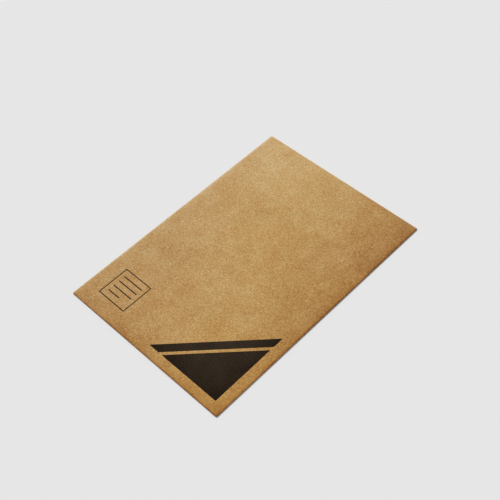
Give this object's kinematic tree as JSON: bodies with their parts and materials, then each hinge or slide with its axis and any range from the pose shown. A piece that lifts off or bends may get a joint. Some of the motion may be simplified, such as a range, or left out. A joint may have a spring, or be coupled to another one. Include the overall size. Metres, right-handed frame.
{
  "type": "paper envelope",
  "caption": "Large kraft paper pocket envelope folded from one sheet, with side seams, a folded-over end flap and a dark corner print on its face.",
  "frame": {"origin": "under the middle of the face, on the plane the envelope lies on", "axes": "+X to the right of the printed face, +Y to the end with the flap, +Z out of the printed face"},
  "size_m": [0.229, 0.324, 0.0016],
  "materials": {
    "kraft_paper": "unbleached kraft, matt, cloudy with fine fibres",
    "printed_ink": "warm black ink printed on the kraft, matt"
  },
  "bodies": {
    "root": {"envelope": "kraft_paper", "corner_triangle": "printed_ink", "corner_stripe": "printed_ink", "sender_box": "printed_ink", "writing_rules": "printed_ink"}
  },
  "joints": []
}
